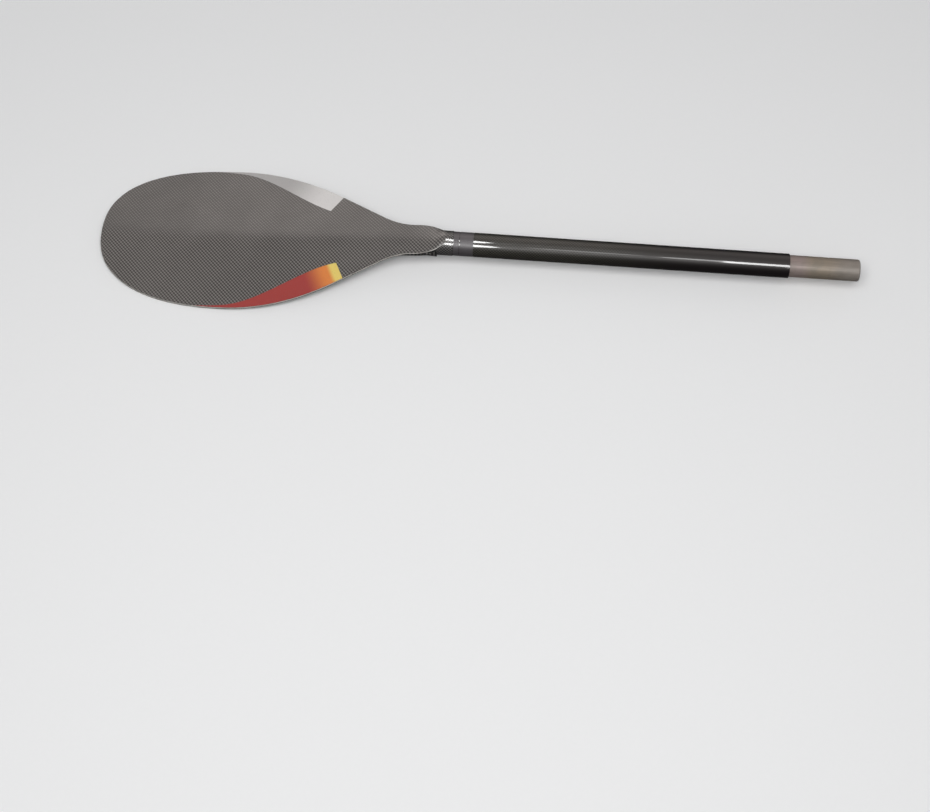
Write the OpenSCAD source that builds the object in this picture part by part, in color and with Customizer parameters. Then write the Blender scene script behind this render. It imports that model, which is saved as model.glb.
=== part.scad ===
// Blade section of a take-apart carbon oar: a ridged blade, a round shaft and a spigot for the next section.
// The shaft lies along X with the spigot at +X, and the power face of the blade looks up (+Z). The origin is
// the centre of the shaft's end face, where the next section butts. Along the blade, s is the distance from
// the tip of its tongue, y is the distance from its centre line, and u runs from -1 to 1 across it.

/* [Shaft] */
// Outside diameter of the shaft
shaft_od = 30; // [29.8:0.1:30.4]
// Inside diameter of the shaft
shaft_id = 27.2; // [27.1:0.05:27.4]
// Length of the shaft from its end face to the tip of the blade's tongue
shaft_len = 415; // [340:5:600]
// Outside diameter of the shaft under the bands and in the blade
neck_od = 29; // [28.8:0.1:29.2]
// Length of shaft bonded inside the blade
bond_len = 84; // [70:2:84]

/* [Neck bands] */
// Width of the wide matte band beside the shaft
band_w = 17; // [10:1:30]
// Width of the narrow ring beside the blade
ring_w = 7; // [4:0.5:10]
// Open seam on each side of the ring
seam = 0.6; // [0.3:0.1:1]
// Distance between the tongue's tip and the ring
tip_gap = 2.4; // [1:0.2:5]

/* [Blade] */
// Length of the blade from the tip of its tongue to its far end
blade_len = 440; // [410:5:480]
// Greatest width of the blade
blade_w = 196; // [180:2:210]
// Distance from the tongue's tip to the widest place
wide_at = 275; // [260:5:290]
// Width of the tongue that laps onto the shaft
tongue_w = 40; // [40:0.25:41]
// Length over which the tongue rounds out to that width
tongue_len = 44; // [40:1:46]
// Widening of each half per unit of length on the straight part of the flare
flare_slope = 0.55; // [0.55:0.01:0.6]
// Squareness of the far end, where 2 is an ellipse
end_power = 2.4; // [2:0.1:3]
// Slope at which the tongue comes down off the shaft
tongue_slope = 0.24; // [0.22:0.01:0.26]
// Angle of the blade below the line of the shaft
rake = 5.5; // [3:0.5:7]
// Slope of each half of the power face beside its ridge
dihedral = 7.5; // [5:0.5:9]
// Upward curl of the far end
spoon = 9; // [0:1:12]
// Thickness of the blade on its centre line
mid_t = 10; // [9:0.5:11]
// Thickness of the blade at its edge
edge_t = 4; // [3.75:0.25:5]
// Thickness of each carbon skin
skin_t = 0.9; // [0.8:0.05:0.95]
// Width of the rim strip between the skins
rim_w = 5; // [4:0.5:7]
// Width of the spar inside the blade
spar_w = 12; // [8:1:14]

/* [Spigot] */
// Outside diameter of the spigot
spigot_od = 27; // [26.9:0.05:27]
// Inside diameter of the spigot
spigot_id = 22; // [21.6:0.1:22.4]
// Length of the spigot outside the shaft, with the domed end plug
spigot_len = 87; // [80:1:110]
// Rounding of the spigot's free end
end_round = 2.3; // [1.5:0.1:2.3]
// Length of the spigot bonded inside the shaft
spigot_bond = 60; // [50:5:80]
// Distance from the shoulder to the lock button
button_x = 40; // [36:1:42]
// Diameter of the lock button
button_d = 7.9; // [7.4:0.1:8]
// Height of the lock button outside the spigot
button_out = 3.4; // [2.5:0.1:3.6]

/* [Hidden] */
$fn = 96;

glue = 0.12;                        // adhesive layer between bonded pieces
core_gap = 0.5;                     // adhesive layer between the core pieces and the skins
running = 0.05;                     // radial clearance of the lock button in its hole
over_cut = 1;                       // how far a cutter runs past the face that it cuts
tip_x = -shaft_len;                 // X of the tongue's tip
bond_x = tip_x - bond_len;          // X of the shaft's end inside the blade
neck_r = neck_od / 2;
socket_wall = 0.8;
socket_in = neck_r + glue;
socket_out = socket_in + socket_wall;
lap_in = socket_out + 0.2;          // inner radius of the skins where they wrap the socket
lap_out = lap_in + skin_t;
half_w = blade_w / 2;
end_len = blade_len - wide_at;
tongue_power = 0.75;                // bluntness of the tongue, where 0.5 is a half circle and 1 a parabola
flare_start = 46;
flare_blend = 40;
shoulder = 140;                     // where the straight flare begins to round over
level_start = 27;                   // where the tongue's slope begins to ease into the blade's rake
level_blend = 20;
flatten_from = 150;                 // from here to the far end the dihedral and the thickness fade
fade = 0.6;                         // share of them that is lost by the far end
back_start = 17;                    // where the back skin begins
face_flat = [6, 24];                // the tongue leaves the shaft's curve to become a flat plate
back_flat = [18, 42];               // and so does the back skin
plate_start = 60;                   // past the neck
ridge_soft = 6;                     // rounding of the centre ridge
spine_w = 19.6;                     // half width of the spine on the back, at the neck
spine_thin = 10;                    // and at its far end
spine_end = 245;                    // where the spine has faded out
spine_share = 0.97;                 // greatest share of the half width that the spine takes
wrap_slack = 1.0;                   // extra room for adhesive where the back skin wraps the socket
wrap_gap = 9;                       // angle left open between the two skins round the socket
u_spine = 0.5;                      // share of u that the spine takes
rim_start = 66;                     // where the two edges are far enough apart for the rim
core_start = bond_len + 8;
core_min_w = 14;                    // the cores end where they would be narrower than this
spar_stop = 50;                     // distance of the spar's end from the blade's

function clamp01(a) = max(0, min(1, a));
function ease(a, b, s) = let (q = clamp01((s - a) / (b - a))) q * q * (3 - 2 * q);
function mix(a, b, t) = a + (b - a) * t;
// Distance travelled by something whose speed rises from 0 to 1 over w, starting at s0
function ramp(s0, w, s) = s <= s0 ? 0 : s < s0 + w ? pow(s - s0, 2) / (2 * w) : s - s0 - w / 2;

// Half width of the blade at s
function flank(s) =
    tongue_w / 2 * pow(1 - pow(1 - clamp01(s / tongue_len), 2), tongue_power)
    + flare_slope * ramp(flare_start, flare_blend, s);
function rounded_over(s) =
    let (len = wide_at - shoulder, q = (s - shoulder) / len, from = flank(shoulder))
    from * (2 * pow(q, 3) - 3 * q * q + 1) + half_w * (3 * q * q - 2 * pow(q, 3))
    + flare_slope * len * (pow(q, 3) - 2 * q * q + q);
function end_curve(s, inset) =
    (half_w - inset) * pow(1 - pow(clamp01((s - wide_at) / (end_len - inset)), end_power), 1 / end_power);
function half_width(s, inset = 0) =
    s < shoulder ? flank(s) - inset : s < wide_at ? rounded_over(s) - inset : end_curve(s, inset);

// Height of the power face
function ridge_z(s) =
    lap_out - tongue_slope * s + (tongue_slope - tan(rake)) * ramp(level_start, level_blend, s)
    + spoon * pow(clamp01((s - wide_at) / end_len), 2);
function slope(s) = tan(dihedral * (1 - fade * ease(flatten_from, blade_len, s)));
function face_z(s, y) = ridge_z(s) - slope(s) * (sqrt(y * y + ridge_soft * ridge_soft) - ridge_soft);

// Thickness of the blade, and of the spine on its back
function plate_t(s, y) =
    let (v = clamp01(abs(y) / half_width(s)))
    mix(edge_t, mid_t, (1 - v * v) * (1 - fade * ease(wide_at, blade_len, s)));
function spine_half(s) =
    min(mix(spine_w, spine_thin, ease(bond_len, spine_end, s)), half_width(s) * spine_share);
function spine_extra(s) =
    (ridge_z(min(s, bond_len)) + lap_out + wrap_slack - mid_t) * (1 - ease(bond_len, spine_end, s));
function back_z(s, y, inset) =
    let (
        q = clamp01(abs(y) / (spine_half(s) - inset)),
        power = mix(0.5, 1.5, ease(bond_len, flatten_from, s)))
    face_z(s, y) - plate_t(s, y) + inset - spine_extra(s) * pow(1 - q * q, power);

// Distance from the centre line at w, which is 1 at the foot of the spine and 2 at the outer limit
function across_spine(s, w, inset, limit) =
    let (foot = spine_half(s) - inset)
    w < 1 ? foot * sin(90 * w) : mix(foot, limit, w - 1);

// Points of the two skins: inset 0 is the outer surface and skin_t the inner one
function wrap_angle(s) = asin(min(0.995, half_width(s) / lap_out));
function front_point(s, u, inset) =
    let (
        flat = ease(face_flat[0], face_flat[1], s),
        r = lap_out - inset,
        a = u * wrap_angle(s),
        y = u * half_width(s)
    )
    [tip_x - s, mix(r * sin(a), y, flat), mix(r * cos(a), face_z(s, y) - inset, flat)];
function back_point(s, u, inset) =
    let (
        flat = ease(back_flat[0], back_flat[1], s),
        r = lap_out + wrap_slack - inset,
        w = abs(u) / u_spine,
        a = sign(u) * (w < 1 ? 90 * w : mix(90, 180 - wrap_gap - wrap_angle(s), w - 1)),
        y = sign(u) * across_spine(s, w, inset, half_width(s))
    )
    [tip_x - s, mix(r * sin(a), y, flat), mix(-r * cos(a), back_z(s, y, inset), flat)];

// Stations along the blade, closer together at the tongue and round the far end
function tongue_stations() = concat([0.5, 1.5], [for (s = [3 : 2 : 27]) s], [for (s = [31 : 5 : 56]) s]);
function body_stations() = [for (i = [0 : 24]) mix(plate_start, wide_at, i / 24)];
function end_stations(inset) =
    [for (i = [1 : 10]) wide_at + (end_len - inset) * pow(sin(i == 10 ? 89 : i * 9), 2 / end_power)];
function across(count) = [for (i = [0 : count]) 2 * i / count - 1];

// Closed solid from rings of points: each ring lists the upper points, then the lower ones backwards
module lofted(rings) {
    n = len(rings[0]);
    last = len(rings) - 1;
    points = [for (ring = rings) for (p = ring) p];
    sides = [for (i = [0 : last - 1]) for (j = [0 : n - 1])
        let (k = (j + 1) % n) each [
            [i * n + j, i * n + k, (i + 1) * n + k],
            [i * n + j, (i + 1) * n + k, (i + 1) * n + j]]];
    half = n / 2;
    first_cap = [for (j = [0 : half - 2]) each [[j + 1, j, n - 1 - j], [j + 1, n - 1 - j, n - 2 - j]]];
    last_cap = [for (t = first_cap) [for (k = [2, 1, 0]) t[k] + last * n]];
    polyhedron(points = points, faces = concat(sides, first_cap, last_cap));
}

function reversed(list) = [for (i = [len(list) - 1 : -1 : 0]) list[i]];

module front_skin() {
    stations = concat(tongue_stations(), body_stations(), end_stations(0));
    rows = across(20);
    color("dimgray")
    lofted([for (s = stations) concat(
        [for (u = rows) front_point(s, u, 0)],
        reversed([for (u = rows) front_point(s, u, skin_t)]))]);
}

module back_skin() {
    neck = [for (s = tongue_stations()) if (s >= back_start) s];
    stations = concat(neck, body_stations(), end_stations(0));
    rows = across(32);
    color("dimgray")
    lofted([for (s = stations) concat(
        [for (u = rows) back_point(s, u, skin_t)],
        reversed([for (u = rows) back_point(s, u, 0)]))]);
}

// A point between the skins, glued layer g away from the upper or the lower one
function under_face(s, y, g) = [tip_x - s, y, face_z(s, y) - skin_t - g];
function over_back(s, y, g) = [tip_x - s, y, back_z(s, y, skin_t + g)];

// The rim runs from the neck along one edge, round the far end and back along the other
module edge_rim() {
    sides = [for (s = body_stations()) if (s > rim_start) [s, s]];
    arc = [for (i = [1 : 10]) let (
        c = pow(sin(i * 9), 2 / end_power))
        [wide_at + end_len * c, wide_at + (end_len - rim_w) * c]];
    near = concat(sides, arc);
    function section(pair, side) = let (
        outer = side * half_width(min(pair[0], blade_len - 0.001)),
        inner = side * (pair[1] < wide_at ? half_width(pair[1], rim_w) : end_curve(pair[1], rim_w)))
        [under_face(pair[0], outer, glue), under_face(pair[1], inner, glue),
         over_back(pair[1], inner, glue), over_back(pair[0], outer, glue)];
    tip = near[len(near) - 1];
    color("tan")
    lofted(concat(
        [for (pair = near) section(pair, -1)],
        reversed([for (pair = near) if (pair != tip) section(pair, 1)])));
}

// One half of the foam core, between the spar and the rim; side is -1 or 1
module core(side) {
    inset = rim_w + core_gap;
    stations = concat(
        [for (s = body_stations()) if (s > core_start) s],
        [for (s = end_stations(inset)) if (half_width(s, inset) > core_min_w) s]);
    inner = spar_w / 2 + core_gap;
    widths = [for (i = [0 : 12]) i / 6];
    lofted([for (s = stations) let (
        limit = half_width(s, inset),
        out = [for (w = widths) max(inner + w * 0.1, across_spine(s, w, skin_t + core_gap, limit))],
        ys = side > 0 ? out : -reversed(out))
        concat(
            [for (y = ys) under_face(s, y, core_gap)],
            reversed([for (y = ys) over_back(s, y, core_gap)]))]);
}

module core_near() {
    color("khaki") core(-1);
}

module core_far() {
    color("khaki") core(1);
}

module centre_spar() {
    stations = [for (i = [0 : 24]) mix(core_start, blade_len - spar_stop, i / 24)];
    ys = [for (i = [-3 : 3]) i * spar_w / 6];
    color("dimgray")
    lofted([for (s = stations) concat(
        [for (y = ys) under_face(s, y, core_gap)],
        reversed([for (y = ys) over_back(s, y, core_gap)]))]);
}

// Round bar or tube along X between two places
module bar(from, to, r) {
    translate([from, 0, 0]) rotate([0, 90, 0]) cylinder(h = to - from, r = r);
}

module pipe(from, to, r_out, r_in) {
    difference() {
        bar(from, to, r_out);
        bar(from - over_cut, to + over_cut, r_in);
    }
}

// Cuts away what lies above the slanted end of the shaft, under the tongue
scarf_angle = 20;
scarf_size = 200;
module scarf() {
    translate([tip_x - 2, 0, socket_out]) rotate([0, -scarf_angle, 0])
        translate([-scarf_size, -scarf_size / 2, 0]) cube(scarf_size);
}

ring_x = tip_x + tip_gap + seam;
ring_r = shaft_od / 2 - 0.05;        // the bands lie just below the shaft's surface

module neck_socket() {
    color("#2b2b2b")
    difference() {
        pipe(bond_x, tip_x + tip_gap, socket_out, socket_in);
        scarf();
    }
}

module shaft_tube() {
    neck_end = ring_x + 2 * seam + ring_w + band_w;
    color("#1c1a18")
    difference() {
        union() {
            bar(bond_x, neck_end + over_cut, neck_r);
            bar(neck_end, 0, shaft_od / 2);
        }
        bar(bond_x - over_cut, over_cut, shaft_id / 2);
        scarf();
    }
}

module neck_ring() {
    color("#757075") pipe(ring_x, ring_x + ring_w, ring_r, neck_r + glue);
}

module neck_band() {
    from = ring_x + ring_w + seam;
    color("#757075") pipe(from, from + band_w, ring_r, neck_r + glue);
}

plug_in = 60;                        // reach of the neck plug on the blade's side of the tongue's tip
plug_out = 36;                       // and on the spigot's side

module neck_plug() {
    color("khaki")
    difference() {
        bar(tip_x - plug_in, tip_x + plug_out, shaft_id / 2 - glue);
        scarf();
    }
}

float_from = -240;
float_to = -110;

module float_plug() {
    color("khaki") bar(float_from, float_to, shaft_id / 2 - glue);
}

plug_dome = 1;                       // rise of the end plug's domed face outside the sleeve
sleeve_end = spigot_len - plug_dome;
groove_at = button_x + 8;            // shallow groove that keeps grit away from the button
groove_w = 1.2;
groove_deep = 0.3;

// Rounded end of a bar of radius r, from X = at
module rounded_end(at, r, round) {
    translate([at, 0, 0]) rotate([0, 90, 0]) rotate_extrude() {
        square([r - round, round]);
        translate([r - round, 0]) intersection() {
            circle(round);
            square(round);
        }
    }
}

module spigot_sleeve() {
    r = spigot_od / 2;
    color("#7d7468")
    difference() {
        union() {
            bar(-spigot_bond, groove_at, r);
            bar(groove_at - over_cut, groove_at + groove_w + over_cut, r - groove_deep);
            bar(groove_at + groove_w, sleeve_end - end_round, r);
            rounded_end(sleeve_end - end_round, r, end_round);
        }
        bar(-spigot_bond - over_cut, spigot_len + over_cut, spigot_id / 2);
        translate([button_x, 0, -r - over_cut]) cylinder(h = r, d = button_d + 2 * running);
    }
}

bulkhead_x = 2 - spigot_bond;
bulkhead_t = 18;

module bulkhead() {
    color("khaki") bar(bulkhead_x, bulkhead_x + bulkhead_t, spigot_id / 2 - glue);
}

plug_t = 13;                         // length of the plug in the spigot's open end, without its dome

module end_plug() {
    r = spigot_id / 2 - glue;
    dome_r = (r * r + plug_dome * plug_dome) / (2 * plug_dome);
    color("#2a2a2c")
    intersection() {
        bar(sleeve_end - plug_t, spigot_len + over_cut, r);
        translate([spigot_len - dome_r, 0, 0]) sphere(dome_r, $fn = 200);
    }
}

contact = 0.05;                      // gap left where moving or riveted pieces bear on each other
dome = 1.2;                          // height and width of the button's rounding, taken as a chamfer
flange_r = 5;                        // inner flange that keeps the button in
flange_t = 1;
flange_z = 2 * contact - sqrt(pow(spigot_id / 2, 2) - pow(flange_r, 2));  // the bore's curve stops it here
leaf_t = 0.6;
leaf_w = 8;
leaf_z = flange_z + flange_t + contact;  // underside of the spring's lower leaf
rivet_r = 1.2;
rivet_deep = 1.9;                    // reach of the rivet into the button
rivet_head_r = 2.2;
rivet_head_t = 0.6;

module lock_button() {
    low = -spigot_od / 2 - button_out;
    neck = low + dome;
    color("silver")
    difference() {
        union() {
            translate([button_x, 0, low]) cylinder(h = dome, d1 = button_d - 2 * dome, d2 = button_d);
            translate([button_x, 0, neck]) cylinder(h = flange_z - neck + flange_t / 2, d = button_d);
            translate([button_x, 0, flange_z]) cylinder(h = flange_t, r = flange_r);
        }
        translate([button_x, 0, flange_z - 2]) cylinder(h = 2 + flange_t + over_cut, r = rivet_r + 0.02);
    }
}

module button_rivet() {
    foot = flange_z - rivet_deep;
    head = leaf_z + leaf_t + contact;
    color("silver")
    union() {
        translate([button_x, 0, foot]) cylinder(h = head + contact - foot, r = rivet_r);
        translate([button_x, 0, head]) cylinder(h = rivet_head_t, r = rivet_head_r);
    }
}

bend_r = 2.6;                        // outer radius of the spring's bend
bend_back = 24;                      // distance of the bend from the button's axis
lower_len = 30;
upper_len = 32.4;
spread = 24;                         // angle between the two leaves

// Bent leaf spring inside the spigot: the upper leaf bears on the bore, the lower one carries the button
module button_spring() {
    inner = bend_r - leaf_t;
    cut = [for (a = [-90, -20, 50, 90 + spread]) 2 * bend_r * [cos(a), sin(a)]];
    color("lightsteelblue")
    difference() {
        translate([button_x - bend_back, leaf_w / 2, leaf_z + bend_r]) rotate([90, 0, 0])
            linear_extrude(leaf_w) union() {
                difference() {
                    circle(bend_r);
                    circle(inner);
                    polygon(concat([[0, 0]], cut));
                }
                translate([0, -bend_r]) square([lower_len, leaf_t]);
                rotate(spread) translate([0, inner]) square([upper_len, leaf_t]);
            }
        translate([button_x, 0, leaf_z - over_cut]) cylinder(h = leaf_t + 2 * over_cut, r = rivet_r + 0.1);
    }
}

front_skin();
back_skin();
edge_rim();
core_near();
core_far();
centre_spar();
neck_socket();
neck_plug();
shaft_tube();
neck_ring();
neck_band();
float_plug();
spigot_sleeve();
bulkhead();
end_plug();
lock_button();
button_rivet();
button_spring();
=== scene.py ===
"""Looks of a take-apart carbon oar's blade section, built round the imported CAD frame."""

import math

import bmesh
import bpy
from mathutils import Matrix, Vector


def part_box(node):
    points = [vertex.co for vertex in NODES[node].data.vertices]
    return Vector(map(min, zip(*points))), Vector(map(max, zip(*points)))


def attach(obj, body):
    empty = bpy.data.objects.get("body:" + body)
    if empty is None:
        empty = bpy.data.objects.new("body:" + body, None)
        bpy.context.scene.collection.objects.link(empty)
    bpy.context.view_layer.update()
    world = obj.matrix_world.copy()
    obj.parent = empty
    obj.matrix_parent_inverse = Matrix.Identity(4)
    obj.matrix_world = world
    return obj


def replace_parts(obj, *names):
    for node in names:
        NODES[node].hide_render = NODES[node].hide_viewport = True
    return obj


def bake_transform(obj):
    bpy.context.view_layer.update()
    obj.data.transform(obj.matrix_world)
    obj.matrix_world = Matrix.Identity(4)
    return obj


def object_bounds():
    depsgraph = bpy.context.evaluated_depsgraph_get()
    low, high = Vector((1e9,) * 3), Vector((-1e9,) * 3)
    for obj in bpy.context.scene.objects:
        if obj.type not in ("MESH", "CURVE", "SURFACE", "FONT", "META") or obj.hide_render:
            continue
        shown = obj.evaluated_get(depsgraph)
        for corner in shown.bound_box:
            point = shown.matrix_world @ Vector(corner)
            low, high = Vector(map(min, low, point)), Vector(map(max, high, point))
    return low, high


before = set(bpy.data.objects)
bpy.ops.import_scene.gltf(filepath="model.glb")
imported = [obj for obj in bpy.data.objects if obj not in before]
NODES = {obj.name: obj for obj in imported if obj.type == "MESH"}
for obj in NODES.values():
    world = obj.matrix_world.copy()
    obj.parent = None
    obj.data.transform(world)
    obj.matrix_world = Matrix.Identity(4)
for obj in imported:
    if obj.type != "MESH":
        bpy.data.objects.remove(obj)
CAD_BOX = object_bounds()
MM = 0.001

# ---------------------------------------------------------------------------------------------
# The blade's shape, in millimetres, worked out from the frame. Along the blade, s is the distance
# from the tip of its tongue, y the distance from its centre line, and u runs from -1 to 1 across.
# ---------------------------------------------------------------------------------------------
FACE_LOW, FACE_HIGH = (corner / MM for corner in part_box("front_skin"))
SOCKET_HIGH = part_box("neck_socket")[1] / MM
CAD_START = 0.5         # the CAD's skin starts this far from the tongue's tip
TIP_X = FACE_HIGH.x + CAD_START
BLADE_LEN = TIP_X - FACE_LOW.x
HALF_W = FACE_HIGH.y
SKIN = 0.9
LAP_GAP = 0.2           # adhesive between the socket and the skins round it
LAP_IN = SOCKET_HIGH.z + LAP_GAP
LAP_OUT = LAP_IN + SKIN
WIDE_AT = 275.0
END_LEN = BLADE_LEN - WIDE_AT
END_POWER = 2.4
TONGUE_HALF = 20.0
TONGUE_LEN = 44.0
TONGUE_POWER = 0.75     # bluntness of the tongue, where 0.5 is a half circle and 1 a parabola
FLARE_SLOPE = 0.55
FLARE_START = 46.0
FLARE_BLEND = 40.0
PLATE_START = 60.0      # past the neck
SHOULDER = 140.0        # where the straight flare begins to round over
TONGUE_SLOPE = 0.24
RAKE = math.tan(math.radians(5.5))
LEVEL_START = 27.0      # where the tongue's slope begins to ease into the rake
LEVEL_BLEND = 20.0
DIHEDRAL = math.radians(7.5)
FLATTEN_FROM = 150.0    # from here to the far end the dihedral fades
FADE = 0.6              # share of the dihedral and of the thickness that is lost by the far end
SPOON = 9.0
MID_T = 10.0
EDGE_T = 4.0
RIDGE_SOFT = 6.0        # rounding of the centre ridge
FACE_START = 0.12
FACE_FLAT = (6, 24)     # the tongue leaves the shaft's curve to become a flat plate
BACK_FLAT = (18, 42)    # and so does the back skin
BACK_START = 17.0
BOND_LEN = 84.0         # length of the shaft inside the blade
SPINE_HALF = 19.6
SPINE_THIN = 10.0
SPINE_END = 245.0
SPINE_SHARE = 0.97      # greatest share of the half width that the spine takes
SPINE_POWERS = (0.5, 1.5)   # fullness of the spine's section at the shaft, and further on
WRAP_SLACK = 1.0        # extra room for adhesive where the back skin wraps the socket
WRAP_GAP = 9.0          # angle left open between the two skins round the socket, in degrees


def clamp01(a):
    return max(0.0, min(1.0, a))


def mix(a, b, t):
    return a + (b - a) * t


def ease(a, b, s):
    q = clamp01((s - a) / (b - a))
    return q * q * (3 - 2 * q)


def ramp(start, width, s):
    """Distance travelled by something whose speed rises from 0 to 1 over width."""
    if s <= start:
        return 0.0
    if s < start + width:
        return (s - start) ** 2 / (2 * width)
    return s - start - width / 2


def flank(s):
    tongue = TONGUE_HALF * (1 - (1 - clamp01(s / TONGUE_LEN)) ** 2) ** TONGUE_POWER
    return tongue + FLARE_SLOPE * ramp(FLARE_START, FLARE_BLEND, s)


def half_width(s):
    if s < SHOULDER:
        return flank(s)
    if s < WIDE_AT:
        length = WIDE_AT - SHOULDER
        q = (s - SHOULDER) / length
        return (
            flank(SHOULDER) * (2 * q**3 - 3 * q * q + 1)
            + HALF_W * (3 * q * q - 2 * q**3)
            + FLARE_SLOPE * length * (q**3 - 2 * q * q + q)
        )
    return HALF_W * (1 - clamp01((s - WIDE_AT) / END_LEN) ** END_POWER) ** (1 / END_POWER)


def ridge_z(s):
    straight = LAP_OUT - TONGUE_SLOPE * s + (TONGUE_SLOPE - RAKE) * ramp(LEVEL_START, LEVEL_BLEND, s)
    return straight + SPOON * clamp01((s - WIDE_AT) / END_LEN) ** 2


def face_z(s, y):
    slope = math.tan(DIHEDRAL * (1 - FADE * ease(FLATTEN_FROM, BLADE_LEN, s)))
    return ridge_z(s) - slope * (math.hypot(y, RIDGE_SOFT) - RIDGE_SOFT)


def plate_t(s, y):
    v = clamp01(abs(y) / max(half_width(s), 1e-6))
    return mix(EDGE_T, MID_T, (1 - v * v) * (1 - FADE * ease(WIDE_AT, BLADE_LEN, s)))


def spine_half(s):
    return min(mix(SPINE_HALF, SPINE_THIN, ease(BOND_LEN, SPINE_END, s)), half_width(s) * SPINE_SHARE)


def back_z(s, y, inset):
    q = clamp01(abs(y) / (spine_half(s) - inset))
    power = mix(*SPINE_POWERS, ease(BOND_LEN, FLATTEN_FROM, s))
    extra = ridge_z(min(s, BOND_LEN)) + LAP_OUT + WRAP_SLACK - MID_T
    extra *= 1 - ease(BOND_LEN, SPINE_END, s)
    return face_z(s, y) - plate_t(s, y) + inset - extra * (1 - q * q) ** power


def wrap_angle(s):
    return math.asin(min(0.995, half_width(s) / LAP_OUT))


def front_point(s, u, inset):
    """Point of the power face's skin: inset 0 is its outer surface and SKIN its inner one."""
    flat = ease(*FACE_FLAT, s)
    r = LAP_OUT - inset
    a = u * wrap_angle(s)
    y = u * half_width(s)
    z = face_z(s, y) - inset
    return Vector((TIP_X - s, mix(r * math.sin(a), y, flat), mix(r * math.cos(a), z, flat)))


def back_point(s, u, inset):
    """Point of the back skin, whose spine takes the middle half of u."""
    flat = ease(*BACK_FLAT, s)
    r = LAP_OUT + WRAP_SLACK - inset
    side = math.copysign(1, u)
    w = abs(u) * 2
    foot = spine_half(s) - inset
    if w < 1:
        a = side * w * math.pi / 2
        y = side * foot * math.sin(w * math.pi / 2)
    else:
        a = side * mix(math.pi / 2, math.radians(180 - WRAP_GAP) - wrap_angle(s), w - 1)
        y = side * mix(foot, half_width(s), w - 1)
    z = back_z(s, y, inset)
    return Vector((TIP_X - s, mix(r * math.sin(a), y, flat), mix(-r * math.cos(a), z, flat)))


def stations(start):
    """Places along the blade, closer together at the tongue's tip and round the far end."""
    tongue_steps, body_steps, end_steps = 48, 60, 40
    crowding = 1.6
    last_turn = math.radians(89.6)
    least_gap = 0.3
    tongue = [PLATE_START * (i / tongue_steps) ** crowding for i in range(1, tongue_steps)]
    body = [mix(PLATE_START, WIDE_AT, i / body_steps) for i in range(body_steps + 1)]
    turns = [last_turn * i / end_steps for i in range(1, end_steps + 1)]
    end = [WIDE_AT + END_LEN * math.sin(turn) ** (2 / END_POWER) for turn in turns]
    return [start] + [s for s in tongue + body + end if s > start + least_gap]


def columns(count):
    """Places across the blade, as u."""
    return [2 * i / count - 1 for i in range(count + 1)]


# ---------------------------------------------------------------------------------------------
# Mesh building
# ---------------------------------------------------------------------------------------------
def add_object(name, points, faces, body, sharp_deg=35):
    """A closed smooth mesh from points in millimetres, riding on a CAD body if one is named."""
    mesh = bpy.data.meshes.new(name)
    mesh.from_pydata([p * MM for p in points], [], faces)
    work = bmesh.new()
    work.from_mesh(mesh)
    bmesh.ops.remove_doubles(work, verts=work.verts, dist=1e-6)
    bmesh.ops.recalc_face_normals(work, faces=work.faces)
    for face in work.faces:
        face.smooth = True
    for edge in work.edges:
        edge.smooth = len(edge.link_faces) == 2 and edge.calc_face_angle(0) < math.radians(sharp_deg)
    work.to_mesh(mesh)
    work.free()
    piece = bpy.data.objects.new(name, mesh)
    bpy.context.scene.collection.objects.link(piece)
    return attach(piece, body) if body else piece


def loft(name, rings, body, sharp_deg=35):
    """Skin over closed rings that all hold the same number of points, with an end cap on the first ring and
    on the last."""
    n = len(rings[0])
    points = [p for ring in rings for p in ring]
    faces = [
        (i * n + j, i * n + (j + 1) % n, (i + 1) * n + (j + 1) % n, (i + 1) * n + j)
        for i in range(len(rings) - 1)
        for j in range(n)
    ]
    last = (len(rings) - 1) * n
    for j in range(n // 2 - 1):
        quad = (j, j + 1, n - 2 - j, n - 1 - j)
        faces.append(quad[::-1])
        faces.append(tuple(last + k for k in quad))
    return add_object(name, points, faces, body, sharp_deg)


def shell(name, point, start, places):
    """A skin of the blade: outer surface, inner surface and the edges between them."""
    rings = []
    for s in stations(start):
        outer = [point(s, u, 0) for u in places]
        inner = [point(s, u, SKIN) for u in places]
        rings.append(outer + inner[::-1])
    return loft(name, rings, "oar")


def edge_gap(s, side):
    """Upper and lower corner of the gap between the skins at the blade's edge. On the tongue, where there
    is no back skin yet, the gap is a narrow one beside the power face."""
    seat, narrow, wide, off_socket = SKIN * 0.7, 0.2, 1.0, 0.25
    top = front_point(s, side, seat)
    if s >= BACK_START:
        return top, back_point(s, side, seat)
    r = LAP_IN + off_socket
    a = side * (wrap_angle(s) + mix(narrow, wide, s / BACK_START) / r)
    return top, Vector((TIP_X - s, r * math.sin(a), r * math.cos(a)))


def light_share(s):
    """Share of the gap that the strip takes: a fine line on the tongue, the whole edge further on."""
    return mix(0.3, 1.0, ease(30, 75, s))


def rim_depth(s):
    return mix(0.5, 3.2, ease(0, PLATE_START, s))


def edge_strip(name):
    """The light strip along the blade's edge, from the neck round the far end and back."""
    start, steps, bulge = 0.6, 6, 0.4

    def section(s, side):
        top, low = edge_gap(s, side)
        low = top.lerp(low, light_share(s))
        inward = Vector((0, -side, 0))
        if s > WIDE_AT:
            along = END_LEN * ((s - WIDE_AT) / END_LEN) ** END_POWER
            inward = Vector((along, -side * half_width(s), 0)).normalized()
        places = [i / steps for i in range(steps + 1)]
        outer = [top.lerp(low, t) - inward * bulge * math.sin(math.pi * t) for t in places]
        return outer + [low + inward * rim_depth(s), top + inward * rim_depth(s)]

    places = stations(start)
    rings = [section(s, -1) for s in places] + [section(s, 1) for s in reversed(places)]
    return loft(name, rings, "oar", sharp_deg=50)


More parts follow.
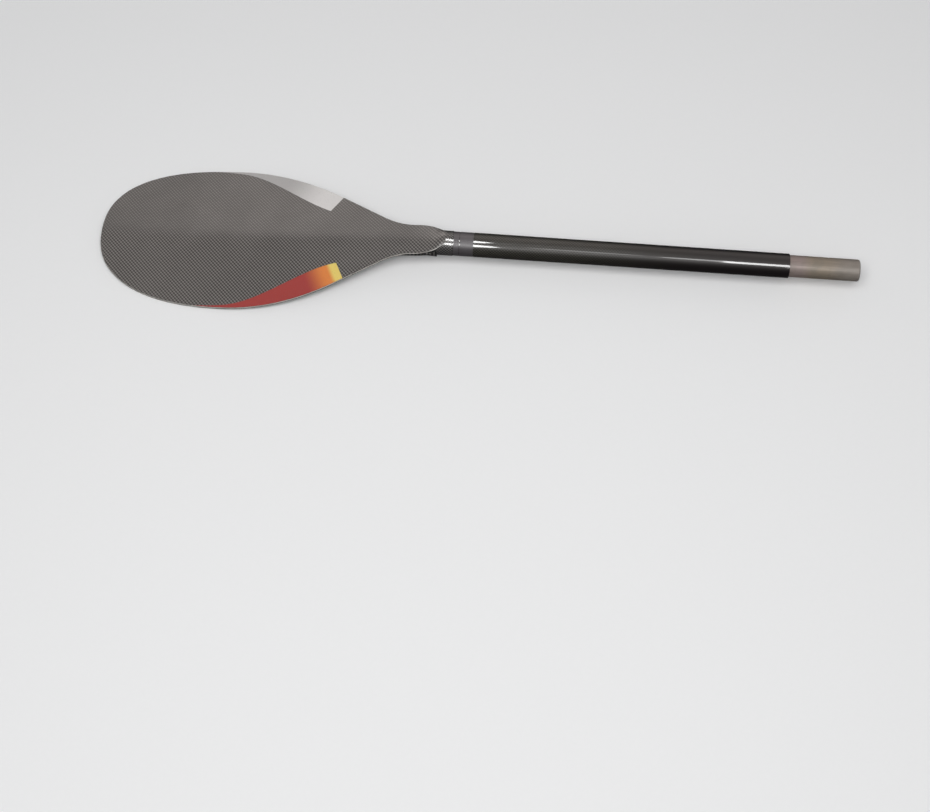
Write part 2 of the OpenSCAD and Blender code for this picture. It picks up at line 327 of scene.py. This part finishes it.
def leaf_path(low, high, thick, bend_r, opening, upper_len):
    """Middle line of the bent leaf, as places and normals: the lower leaf, the bend and the upper leaf."""
    lower_steps, bend_steps, upper_steps = 30, 24, 24
    centre = Vector((low.x + bend_r, 0, low.z + bend_r))
    lower_z = low.z + thick / 2
    path = []
    for i in range(lower_steps):
        path.append((Vector((mix(high.x, centre.x, i / lower_steps), 0, lower_z)), Vector((0, 0, 1))))
    for i in range(bend_steps + 1):
        a = mix(-math.pi / 2, -3 * math.pi / 2 + opening, i / bend_steps)
        out = Vector((math.cos(a), 0, math.sin(a)))
        path.append((centre + out * (bend_r - thick / 2), -out))
    bend_end, normal = path[-1]
    along = Vector((math.cos(opening), 0, math.sin(opening)))
    for i in range(1, upper_steps + 1):
        path.append((bend_end + along * upper_len * i / upper_steps, normal))
    return centre, path


def leaf_section(place, normal, half, thick):
    """Section of the leaf, with its long edges bevelled."""
    bevel, flat = 0.15, 0.4
    side = Vector((0, half, 0))
    edge = Vector((0, bevel, 0))
    lift = normal * thick / 2
    upper = [place - side + lift * flat, place - side + edge + lift,
             place + side - edge + lift, place + side + lift * flat]
    lower = [place + side - lift * flat, place + side - edge - lift,
             place - side + edge - lift, place - side - lift * flat]
    return upper + lower


def leaf_spring():
    """The lock button's bent leaf: the upper leaf bears on the bore and the lower one carries the rivet."""
    low, high = (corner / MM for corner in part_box("button_spring"))
    rivet_x = sum(corner.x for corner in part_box("button_rivet")) / 2 / MM
    thick, bend_r, opening, upper_len = 0.6, 2.6, math.radians(24), 32.4
    end_round, least_half = 3, 0.2
    hole_r, hole_len = 1.3, 4
    centre, path = leaf_path(low, high, thick, bend_r, opening, upper_len)
    rings = []
    for place, normal in path:
        from_end = min((path[0][0] - place).length, (path[-1][0] - place).length)
        q = max(0.0, 1 - from_end / end_round)
        half = high.y * math.sqrt(max(least_half, 1 - q * q))
        rings.append(leaf_section(place, normal, half, thick))
    leaf = loft("button_leaf", rings, None, sharp_deg=40)
    rivet_place = Vector((rivet_x, 0, low.z + thick / 2)) * MM
    bpy.ops.mesh.primitive_cylinder_add(
        vertices=32, radius=hole_r * MM, depth=hole_len * MM, location=rivet_place)
    cutter = bpy.context.object
    cut = leaf.modifiers.new("rivet_hole", "BOOLEAN")
    cut.operation, cut.object, cut.solver = "DIFFERENCE", cutter, "EXACT"
    view = bpy.context.evaluated_depsgraph_get()
    leaf.data = bpy.data.meshes.new_from_object(leaf.evaluated_get(view))
    leaf.modifiers.clear()
    bpy.data.objects.remove(cutter)
    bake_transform(leaf)
    return leaf


power_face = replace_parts(shell("power_face", front_point, FACE_START, columns(64)), "front_skin")
back_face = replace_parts(shell("back_face", back_point, BACK_START, columns(96)), "back_skin")
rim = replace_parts(edge_strip("rim_strip"), "edge_rim")
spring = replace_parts(leaf_spring(), "button_spring")


# ---------------------------------------------------------------------------------------------
# Materials. Every pattern is worked out from object coordinates, which are metres in the CAD frame.
# ---------------------------------------------------------------------------------------------
class Nodes:
    """A node tree, with short calls for the nodes that the finishes and the light below share."""

    def __init__(self, tree, coords):
        self.tree = tree
        self.tree.nodes.clear()
        self.coords = self.tree.nodes.new("ShaderNodeTexCoord").outputs[coords]
        self.x, self.y, self.z = self.split(self.coords)

    def put(self, value, socket):
        if isinstance(value, bpy.types.NodeSocket):
            self.tree.links.new(value, socket)
        else:
            socket.default_value = value

    def split(self, vector):
        node = self.tree.nodes.new("ShaderNodeSeparateXYZ")
        self.put(vector, node.inputs[0])
        return tuple(node.outputs)

    def join(self, x, y, z):
        node = self.tree.nodes.new("ShaderNodeCombineXYZ")
        for value, socket in zip((x, y, z), node.inputs):
            self.put(value, socket)
        return node.outputs[0]

    def calc(self, operation, *values):
        node = self.tree.nodes.new("ShaderNodeMath")
        node.operation = operation
        for value, socket in zip(values, node.inputs):
            self.put(value, socket)
        return node.outputs[0]

    def add(self, a, b):
        return self.calc("ADD", a, b)

    def sub(self, a, b):
        return self.calc("SUBTRACT", a, b)

    def mul(self, a, b):
        return self.calc("MULTIPLY", a, b)

    def fade(self, value, low, high, out_low=0.0, out_high=1.0):
        """Smooth change from out_low to out_high as value goes from low to high."""
        node = self.tree.nodes.new("ShaderNodeMapRange")
        node.interpolation_type = "SMOOTHSTEP"
        for item, socket in zip((value, low, high, out_low, out_high), node.inputs):
            self.put(item, socket)
        return node.outputs[0]

    def noise(self, vector, scale, detail=3.0, rough=0.55):
        node = self.tree.nodes.new("ShaderNodeTexNoise")
        self.put(vector, node.inputs["Vector"])
        node.inputs["Scale"].default_value = scale
        node.inputs["Detail"].default_value = detail
        node.inputs["Roughness"].default_value = rough
        return node.outputs["Fac"]

    def stretched(self, sx, sy, sz):
        """Object coordinates scaled apart, for streaks."""
        return self.join(self.mul(self.x, sx), self.mul(self.y, sy), self.mul(self.z, sz))

    def choose(self, factor, a, b):
        """Mix of two numbers: a where factor is 0, b where it is 1."""
        node = self.tree.nodes.new("ShaderNodeMix")
        factor_in, a_in, b_in = (node.inputs[i] for i in (0, 2, 3))
        for value, socket in ((factor, factor_in), (a, a_in), (b, b_in)):
            self.put(value, socket)
        return node.outputs[0]

    def blend(self, factor, a, b):
        """Mix of two colours: a where factor is 0, b where it is 1."""
        node = self.tree.nodes.new("ShaderNodeMix")
        node.data_type = "RGBA"
        factor_in, a_in, b_in = (node.inputs[i] for i in (0, 6, 7))
        for value, socket in ((factor, factor_in), (a, a_in), (b, b_in)):
            self.put(value, socket)
        return node.outputs[2]

    def bump(self, height, depth, strength=1.0):
        node = self.tree.nodes.new("ShaderNodeBump")
        self.put(height, node.inputs["Height"])
        node.inputs["Distance"].default_value = depth
        self.put(strength, node.inputs["Strength"])
        return node.outputs[0]

    def ray_is(self, kind):
        """1 for a ray of the kind that is named, such as Glossy, 0 for any other."""
        return self.tree.nodes.new("ShaderNodeLightPath").outputs[f"Is {kind} Ray"]


class Finish(Nodes):
    """A node material with one principled shader."""

    def __init__(self, name):
        self.material = bpy.data.materials.new(name)
        self.material.use_nodes = True
        super().__init__(self.material.node_tree, "Object")
        self.output = self.tree.nodes.new("ShaderNodeOutputMaterial")
        self.shader = self.tree.nodes.new("ShaderNodeBsdfPrincipled")
        self.tree.links.new(self.shader.outputs[0], self.output.inputs[0])

    def show_from_above_only(self):
        """Make the back of every face clear, so that the floor hides the object neither from a camera nor
        from a lamp below."""
        clear = self.tree.nodes.new("ShaderNodeBsdfTransparent")
        pick = self.tree.nodes.new("ShaderNodeMixShader")
        behind = self.tree.nodes.new("ShaderNodeNewGeometry").outputs["Backfacing"]
        self.put(self.calc("MAXIMUM", behind, self.ray_is("Shadow")), pick.inputs[0])
        self.put(self.shader.outputs[0], pick.inputs[1])
        self.put(clear.outputs[0], pick.inputs[2])
        self.put(pick.outputs[0], self.output.inputs[0])

    def set(self, **values):
        """Set the shader's inputs, named with _ for each space."""
        for key, value in values.items():
            self.put(value, self.shader.inputs[key.replace("_", " ")])


def grey(level, tint=(1.0, 1.0, 1.0)):
    return (level * tint[0], level * tint[1], level * tint[2], 1.0)


def plain_weave(f, across, along, tow):
    """Plain weave of tows that are tow metres wide. Gives 1 where the lengthwise tow is on top, the height
    and a wave that runs slantwise over the crossings."""
    u = f.calc("DIVIDE", along, tow)
    v = f.calc("DIVIDE", across, tow)
    fu, fv = f.calc("FRACT", u), f.calc("FRACT", v)
    cell = f.add(f.calc("FLOOR", u), f.calc("FLOOR", v))
    lengthwise = f.calc("GREATER_THAN", f.calc("FRACT", f.mul(cell, 0.5)), 0.25)
    round_u = f.calc("SINE", f.mul(fu, math.pi))
    round_v = f.calc("SINE", f.mul(fv, math.pi))

    def tow_height(over_width, along_tow):
        return f.mul(f.calc("POWER", over_width, 0.4), f.add(0.55, f.mul(along_tow, 0.45)))

    running = f.mul(lengthwise, tow_height(round_v, round_u))
    crossing = f.mul(f.sub(1.0, lengthwise), tow_height(round_u, round_v))
    profile = f.add(running, crossing)
    leaning = f.calc("COSINE", f.mul(f.add(u, v), math.pi))
    return lengthwise, profile, leaning


def fibres(f, lengthwise, along, across):
    """Fine streaks that run along whichever tow is on top."""
    fine, coarse = 5200.0, 260.0
    running = f.noise(f.join(f.mul(along, coarse), f.mul(across, fine), 0.0), 1.0, 2.0)
    crossing = f.noise(f.join(f.mul(along, fine), f.mul(across, coarse), 0.0), 1.0, 2.0)
    return f.add(f.mul(lengthwise, running), f.mul(f.sub(1.0, lengthwise), crossing))


def round_the_shaft(f, radius):
    """Distance round a bar that lies along X."""
    return f.mul(f.calc("ARCTAN2", f.y, f.z), radius)


BLADE_TOW = 0.00226
SHAFT_TOW = 0.0019
SHAFT_R = 0.015
SOCKET_R = 0.0154
SPIGOT_R = 0.0135


def blade_carbon(name, flashes):
    """Silvery weave with a clear gloss at the tongue's tip. The far half of the ridge carries a painted
    sheen that lifts its darks and veils the weave, so the weave is clearer on the near half.
    """
    f = Finish(name)
    over, profile, leaning = plain_weave(f, f.y, f.x, BLADE_TOW)
    streak = fibres(f, over, f.x, f.y)
    cloud = f.noise(f.coords, 22.0, 3.0)
    ridge = (-0.012, 0.006)
    # Painted sheen: past the ridge the weave gets lighter darks, dimmer lights and less contrast, as a
    # broad light behind the blade would show it.
    sheen_half = f.fade(f.y, *ridge)
    sheen_contrast = f.fade(f.y, *ridge, 1.4, 0.4)
    lattice = f.add(f.mul(over, 0.42), f.mul(leaning, 0.42))
    lattice = f.add(lattice, f.mul(f.sub(cloud, 0.5), 0.4))
    lattice = f.fade(f.mul(f.sub(lattice, 0.06), sheen_contrast), -0.27, 0.63)
    sheen_dark = f.blend(cloud, grey(0.018, (1.0, 0.94, 0.86)), grey(0.035, (1.0, 0.95, 0.9)))
    sheen_light = f.blend(cloud, grey(0.12, (1.0, 0.94, 0.89)), grey(0.18, (1.0, 0.95, 0.91)))
    dark = f.blend(sheen_half, grey(0.008, (1.0, 0.94, 0.86)), sheen_dark)
    light = f.blend(sheen_half, grey(0.18, (1.0, 0.94, 0.89)), sheen_light)
    colour = f.blend(lattice, dark, light)
    colour = f.blend(f.fade(profile, 0.2, 0.6), grey(0.015), colour)
    colour = f.blend(f.fade(streak, 0.3, 0.7, 0.12, 0.0), colour, grey(0.02))
    if flashes:
        colour = paint_flashes(f, colour)
    wear = f.noise(f.coords, 900.0, 2.0)
    tip = f.fade(f.x, TIP_X * MM - 0.016, TIP_X * MM - 0.006)
    f.set(
        Base_Color=colour,
        Roughness=f.fade(streak, 0.2, 0.8, 0.34, 0.5),
        Metallic=0.25,
        Normal=f.bump(f.add(profile, f.mul(streak, 0.2)), 0.00025, 0.55),
        Coat_Weight=f.add(0.55, f.mul(tip, 0.45)),
        Coat_Roughness=f.sub(f.fade(wear, 0.3, 0.8, 0.16, 0.26), f.mul(tip, 0.1)),
        Coat_Normal=f.bump(f.noise(f.coords, 260.0, 3.0), 0.0001, f.fade(tip, 0.0, 1.0, 0.1, 0.02)),
    )
    along_fibres = f.join(over, f.sub(1.0, over), 0.0)
    f.set(Anisotropic=0.5, Tangent=along_fibres)
    return f.material


def paint_flashes(f, colour):
    """Painted flashes along both edges, each with a slanted start: white on the far half, yellow to red on
    the near."""
    corner_s, corner_y, far_delay = 0.1294, 0.0555, 0.0151
    near_slant, more_slant = 0.5, 0.15
    border = 0.0003
    s = f.sub(TIP_X * MM, f.x)
    reach = f.calc("ABSOLUTE", f.y)
    far = f.calc("GREATER_THAN", f.y, 0.0)
    corner = f.add(corner_s, f.mul(far, far_delay))
    slant = f.add(near_slant, f.mul(far, more_slant))
    start = f.add(corner, f.mul(f.sub(corner_y, reach), slant))
    past = f.sub(s, start)
    width = f.fade(s, 0.13, 0.31, 0.022, 0.001)
    from_edge = f.sub(f.fade(s, 0.12, 0.275, 0.055, HALF_W * MM), reach)
    inside = f.sub(width, from_edge)
    on = f.mul(f.fade(past, -border, border), f.fade(inside, -border, border))
    grain = f.noise(f.coords, 700.0, 2.0)
    yellow, orange, red = (0.72, 0.56, 0.13, 1), (0.66, 0.2, 0.03, 1), (0.3, 0.02, 0.015, 1)
    warm = f.blend(f.fade(past, 0.008, 0.016), yellow, orange)
    warm = f.blend(f.fade(past, 0.016, 0.05), warm, red)
    white = f.blend(f.fade(past, 0.02, 0.09), grey(0.55), grey(0.3))
    paint = f.blend(far, warm, white)
    paint = f.blend(f.fade(grain, 0.55, 0.8, 0.0, 0.25), paint, grey(0.1))
    return f.blend(on, colour, paint)


def shaft_carbon():
    """Near black under a clear coat. A painted sheen makes the weave's colour and bump show best near the
    neck. Both fade towards the spigot, where the base colour also turns darker.
    """
    f = Finish("shaft_clear_coat_carbon")
    around = round_the_shaft(f, SHAFT_R)
    over, profile, leaning = plain_weave(f, around, f.x, SHAFT_TOW)
    streak = fibres(f, over, f.x, around)
    cloud = f.noise(f.stretched(12.0, 60.0, 60.0), 1.0, 3.0)
    # Painted sheen: the weave stands out near the neck, as it would under a broad light there, and fades
    # away towards the spigot.
    weave_sheen = f.mul(f.fade(f.x, -0.3, -0.14, 1.0, 0.1), f.fade(cloud, 0.3, 0.7, 0.7, 1.0))
    lattice = f.fade(f.add(f.mul(over, 0.75), f.mul(leaning, 0.12)), 0.0, 0.85)
    dark = f.blend(f.fade(f.x, -0.3, -0.05), grey(0.01, (1.0, 0.88, 0.72)), grey(0.004, (1.3, 0.8, 1.0)))
    light = f.blend(cloud, grey(0.05, (1.0, 0.94, 0.76)), grey(0.075, (1.0, 0.95, 0.78)))
    woven = f.blend(f.mul(lattice, f.fade(profile, 0.2, 0.7)), dark, light)
    colour = f.blend(weave_sheen, dark, woven)
    f.set(
        Base_Color=colour,
        Roughness=f.fade(streak, 0.2, 0.8, 0.3, 0.45),
        Normal=f.bump(profile, 0.0002, f.mul(weave_sheen, 0.4)),
        Coat_Weight=1.0,
        Coat_Roughness=f.fade(f.noise(f.coords, 1400.0, 2.0), 0.4, 0.8, 0.03, 0.06),
        Coat_Normal=f.bump(f.noise(f.stretched(9.0, 60.0, 60.0), 1.0, 1.0), 0.0002, 0.012),
        Specular_IOR_Level=0.3,
    )
    return f.material


def socket_carbon():
    f = Finish("socket_dark_carbon")
    around = round_the_shaft(f, SOCKET_R)
    over, profile, _ = plain_weave(f, around, f.x, SHAFT_TOW)
    streak = fibres(f, over, f.x, around)
    woven = f.mul(over, f.fade(profile, 0.2, 0.8))
    colour = f.blend(woven, grey(0.008), grey(0.17, (1.0, 0.96, 0.93)))
    f.set(
        Base_Color=colour,
        Roughness=f.fade(streak, 0.2, 0.8, 0.32, 0.46),
        Normal=f.bump(profile, 0.0002, 0.5),
        Coat_Weight=0.9,
        Coat_Roughness=f.fade(f.noise(f.coords, 1100.0, 2.0), 0.4, 0.8, 0.06, 0.14),
    )
    return f.material


def matte_band():
    f = Finish("matte_grey_sleeve")
    grain = f.noise(f.coords, 2600.0, 4.0)
    cloud = f.noise(f.coords, 90.0, 3.0)
    turns = f.calc("SINE", f.mul(f.x, 9000.0))
    colour = f.blend(cloud, grey(0.065, (1.0, 0.9, 0.98)), grey(0.09, (1.0, 0.9, 0.98)))
    colour = f.blend(f.fade(grain, 0.35, 0.7, 0.0, 0.3), colour, grey(0.05))
    f.set(
        Base_Color=colour,
        Specular_IOR_Level=0.7,
        Roughness=f.fade(grain, 0.3, 0.7, 0.36, 0.46),
        Normal=f.bump(f.add(grain, f.mul(turns, 0.15)), 0.00012, 0.5),
    )
    return f.material


def ground_spigot():
    """Bare composite, ground to size: rosy beside the shaft, then olive, then grey, and pale at its end."""
    f = Finish("ground_taupe_composite")
    around = round_the_shaft(f, SPIGOT_R)
    streaks = f.noise(f.join(f.mul(f.x, 25.0), f.mul(around, 700.0), 0.0), 1.0, 4.0)
    patches = f.noise(f.join(f.mul(f.x, 45.0), f.mul(around, 60.0), 0.0), 1.0, 3.0)
    rings = f.noise(f.join(f.mul(f.x, 2400.0), 0.0, 0.0), 1.0, 2.0)
    worn = (1.0, 0.9, 0.78)
    hue = f.blend(f.fade(f.x, 0.012, 0.03), grey(0.3, (1.0, 0.78, 0.72)), grey(0.28, (1.0, 0.82, 0.62)))
    hue = f.blend(f.fade(f.x, 0.04, 0.075), hue, grey(0.275, (1.0, 0.88, 0.77)))
    colour = f.blend(f.fade(streaks, 0.3, 0.75, 0.0, 0.35), hue, grey(0.13, worn))
    colour = f.blend(f.fade(patches, 0.4, 0.7, 0.0, 0.4), colour, grey(0.15, worn))
    colour = f.blend(f.fade(f.x, 0.0825, 0.086, 0.0, 0.35), colour, grey(0.45, (1.0, 0.97, 0.93)))
    f.set(
        Base_Color=colour,
        Roughness=f.fade(streaks, 0.3, 0.8, 0.42, 0.56),
        Normal=f.bump(f.add(streaks, f.mul(rings, 0.4)), 0.0001, 0.4),
        Metallic=0.15,
    )
    return f.material


def rim_finish():
    f = Finish("sanded_beige_rim")
    grain = f.noise(f.coords, 1800.0, 4.0)
    wear = f.noise(f.coords, 120.0, 4.0)
    colour = f.blend(f.fade(wear, 0.35, 0.7), grey(0.55, (1.0, 0.95, 0.88)), grey(0.7, (1.0, 0.96, 0.9)))
    colour = f.blend(f.fade(grain, 0.5, 0.8, 0.0, 0.35), colour, grey(0.16, (1.0, 0.94, 0.86)))
    f.set(
        Base_Color=colour,
        Roughness=f.fade(grain, 0.3, 0.7, 0.42, 0.62),
        Normal=f.bump(grain, 0.00012, 0.4),
    )
    return f.material


def foam():
    f = Finish("closed_cell_foam")
    cells = f.tree.nodes.new("ShaderNodeTexVoronoi")
    f.put(f.coords, cells.inputs["Vector"])
    cells.inputs["Scale"].default_value = 1600.0
    size = cells.outputs["Distance"]
    tone = f.noise(f.coords, 60.0, 3.0)
    colour = f.blend(tone, (0.62, 0.5, 0.28, 1), (0.72, 0.6, 0.36, 1))
    colour = f.blend(f.fade(size, 0.1, 0.7, 0.35, 0.0), colour, (0.35, 0.26, 0.12, 1))
    f.set(Base_Color=colour, Roughness=0.9, Normal=f.bump(size, 0.0003, 0.7))
    return f.material


def black_plastic():
    f = Finish("moulded_black_plastic")
    grain = f.noise(f.coords, 2200.0, 4.0)
    scuff = f.noise(f.stretched(300.0, 300.0, 60.0), 1.0, 4.0)
    colour = f.blend(f.fade(scuff, 0.5, 0.75), grey(0.018), grey(0.05))
    f.set(
        Base_Color=colour,
        Roughness=f.fade(grain, 0.3, 0.7, 0.38, 0.55),
        Normal=f.bump(grain, 0.0001, 0.5),
    )
    return f.material


def brushed_steel():
    f = Finish("brushed_stainless")
    lines = f.noise(f.stretched(400.0, 400.0, 9000.0), 1.0, 3.0)
    scratch = f.noise(f.stretched(6000.0, 700.0, 700.0), 1.0, 3.0)
    colour = f.blend(f.fade(lines, 0.3, 0.7), grey(0.5, (1.0, 0.99, 0.97)), grey(0.66, (1.0, 0.99, 0.98)))
    f.set(
        Base_Color=colour,
        Metallic=0.75,
        Roughness=f.fade(scratch, 0.3, 0.75, 0.22, 0.38),
        Normal=f.bump(f.add(lines, scratch), 0.00005, 0.4),
    )
    return f.material


def finish_with(material, *objects):
    for item in objects:
        item.data.materials.clear()
        item.data.materials.append(material)


finish_with(blade_carbon("blade_face_carbon", True), power_face)
finish_with(blade_carbon("blade_back_carbon", False), back_face)
finish_with(rim_finish(), rim)
finish_with(shaft_carbon(), NODES["shaft_tube"])
finish_with(socket_carbon(), NODES["neck_socket"], NODES["centre_spar"])
finish_with(matte_band(), NODES["neck_ring"], NODES["neck_band"])
finish_with(ground_spigot(), NODES["spigot_sleeve"])
foam_pieces = ("core_near", "core_far", "neck_plug", "float_plug", "bulkhead")
finish_with(foam(), *(NODES[name] for name in foam_pieces))
finish_with(black_plastic(), NODES["end_plug"])
finish_with(brushed_steel(), NODES["lock_button"], NODES["button_rivet"], NODES["button_spring"], spring)


# ---------------------------------------------------------------------------------------------
# Floor, light and camera
# ---------------------------------------------------------------------------------------------
VIEW_ELEVATION = math.radians(60)
VIEW_TURN = math.radians(4.43)
VIEW_DISTANCE = 2.234
VIEW_TARGET = Vector((-0.398, 0, 0))
VIEW_SHIFT = -0.174     # the object lies above the middle of the picture
VIEW_AWAY = Vector((
    math.sin(VIEW_TURN) * math.cos(VIEW_ELEVATION),
    -math.cos(VIEW_TURN) * math.cos(VIEW_ELEVATION),
    math.sin(VIEW_ELEVATION),
))
SKY_LEVEL = 0.3


def stage_floor():
    """A pale floor. Reflections and bounced light see it darker than the camera does, as if it were a dark
    cloth."""
    clearance, reach = 0.0005, 6.0
    low = CAD_BOX[0][2] - clearance
    corners = [(-reach, -reach, low), (reach, -reach, low), (reach, reach, low), (-reach, reach, low)]
    mesh = bpy.data.meshes.new("floor")
    mesh.from_pydata(corners, [], [(0, 1, 2, 3)])
    floor = bpy.data.objects.new("floor", mesh)
    bpy.context.scene.collection.objects.link(floor)
    f = Finish("floor_paper")
    paper = f.blend(f.noise(f.coords, 300.0), grey(0.9), grey(0.92))
    paper = f.blend(f.ray_is("Glossy"), paper, grey(0.03))
    paper = f.blend(f.ray_is("Diffuse"), paper, grey(0.15))
    f.set(Base_Color=paper, Roughness=0.9, Specular_IOR_Level=0.0)
    f.show_from_above_only()
    finish_with(f.material, floor)


def soft_box(name, place, aim, size, radiance, shape="RECTANGLE"):
    """An evenly bright area lamp at place that faces aim."""
    light = bpy.data.lights.new(name, "AREA")
    light.shape = shape
    light.size, light.size_y = size
    light.energy = radiance * math.pi * size[0] * size[1]
    lamp = bpy.data.objects.new(name, light)
    lamp.location = place
    lamp.rotation_euler = (Vector(aim) - Vector(place)).to_track_quat("-Z", "Y").to_euler()
    bpy.context.scene.collection.objects.link(lamp)
    return lamp


def shine(name, start, end, tilt_deg, spread_deg, radiance, shape="RECTANGLE"):
    """A lamp behind the camera, for reflections only. The shaft shows it from start to end along its length
    and tilt_deg round from the line that faces the camera. spread_deg is half the lamp's height."""
    away = 2.6
    weight = VIEW_DISTANCE / (VIEW_DISTANCE + away)
    eye_x = (VIEW_TARGET + VIEW_AWAY * VIEW_DISTANCE).x
    low, high = ((x - eye_x * (1 - weight)) / weight for x in (start, end))
    angle = VIEW_ELEVATION + math.radians(2 * tilt_deg)
    centre = (low + high) / 2
    place = (centre, -away * math.cos(angle), away * math.sin(angle))
    width = 2 * away * math.tan(math.radians(spread_deg))
    lamp = soft_box(name, place, (centre, 0, 0), (high - low, width), radiance, shape)
    lamp.visible_diffuse = False


def camera():
    lens, sensor = 70.0, 36.0
    data = bpy.data.cameras.new("camera")
    data.lens, data.sensor_width = lens, sensor
    data.shift_y = VIEW_SHIFT
    data.clip_start, data.clip_end = 0.05, 50
    eye = bpy.data.objects.new("camera", data)
    eye.location = VIEW_TARGET + VIEW_AWAY * VIEW_DISTANCE
    eye.rotation_euler = (-VIEW_AWAY).to_track_quat("-Z", "Y").to_euler()
    bpy.context.scene.collection.objects.link(eye)
    bpy.context.scene.camera = eye


def world_light():
    """Soft light from all round. In reflections the room is dark in front, brighter overhead, brightest
    behind the blade, and dark again down to the horizon behind."""
    world = bpy.data.worlds.new("studio")
    world.use_nodes = True
    n = Nodes(world.node_tree, "Generated")
    output = n.tree.nodes.new("ShaderNodeOutputWorld")
    sky = n.tree.nodes.new("ShaderNodeBackground")
    turn = n.calc("ARCTAN2", n.z, n.mul(n.y, -1.0))

    def over_turn(low_deg, high_deg, out_low=0.0, out_high=1.0):
        """Change with the direction's turn about the shaft, from the front horizon over the top."""
        return n.fade(turn, math.radians(low_deg), math.radians(high_deg), out_low, out_high)

    rise = over_turn(-5, 65, 0.03, 0.5)
    behind = n.mul(over_turn(108, 136), n.fade(n.x, -0.25, 0.0, 2.2, 0.15))
    drop = over_turn(145, 178, 1.0, 0.2)
    seen = n.mul(n.add(rise, behind), drop)
    neutral, warm = (0.98, 0.985, 1.0, 1), (1.0, 0.92, 0.88, 1)
    n.put(n.choose(n.ray_is("Glossy"), SKY_LEVEL, seen), sky.inputs["Strength"])
    n.put(n.blend(n.ray_is("Glossy"), neutral, warm), sky.inputs["Color"])
    n.put(sky.outputs[0], output.inputs[0])
    bpy.context.scene.world = world


stage_floor()
camera()
world_light()
soft_box("key_box", (-0.4, -0.9, 2.4), (-0.45, 0, 0), (1.8, 1.4), 5.4).visible_glossy = False
soft_box("lamp_below", (-0.4, 0, -2.4), (-0.4, 0, 0), (1.6, 1.0), 9).visible_glossy = False
shine("line_light", -0.08, 0.0, -1.5, 8, 18)
shine("spigot_light", 0.0, 0.1, -4, 13, 12)
shine("fading_line", -0.16, -0.06, 0.5, 5, 5, "ELLIPSE")
shine("faint_line", -0.32, -0.18, 2.0, 5, 2, "ELLIPSE")
shine("neck_light_high", -0.445, -0.366, 14, 10, 20, "ELLIPSE")
shine("neck_light_low", -0.445, -0.357, -5, 10, 20, "ELLIPSE")
shine("tongue_light", -0.95, -0.45, -7, 14, 6)
bpy.context.scene.view_settings.view_transform = "Standard"
